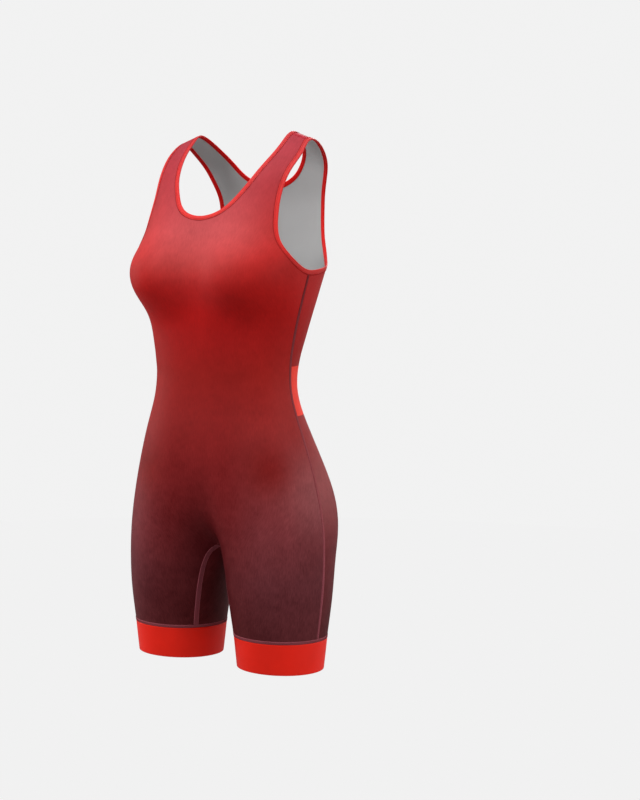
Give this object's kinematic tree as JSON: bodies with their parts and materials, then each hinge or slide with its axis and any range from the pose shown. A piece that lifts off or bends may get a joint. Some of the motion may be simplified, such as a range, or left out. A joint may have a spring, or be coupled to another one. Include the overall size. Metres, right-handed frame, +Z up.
{
  "type": "wrestling singlet",
  "caption": "Sleeveless one-piece wrestling garment with a scooped neck, racer back, bound edges and short legs with gripper bands, filled out and hollow.",
  "frame": {"origin": "midway between the tops of the two shoulder straps, level with them, where the wearer's shoulders hold the garment up", "axes": "+Z up, the front of the garment faces -Y, and the wearer's left side is +X"},
  "size_m": [0.33, 0.2584, 0.8095],
  "materials": {
    "knit": "fine stretch knit with a soft satin sheen, red at the shoulders fading to dark maroon at the thighs",
    "tape": "bright red folded stretch tape, smooth and slightly satin",
    "gripper": "bright red elastic gripper band, smooth and matt"
  },
  "bodies": {
    "root": {"front_panel": "knit", "back_panel": "knit", "neck_binding": "tape", "armhole_binding_left": "tape", "armhole_binding_right": "tape", "leg_band_left": "gripper", "leg_band_right": "gripper"}
  },
  "joints": []
}
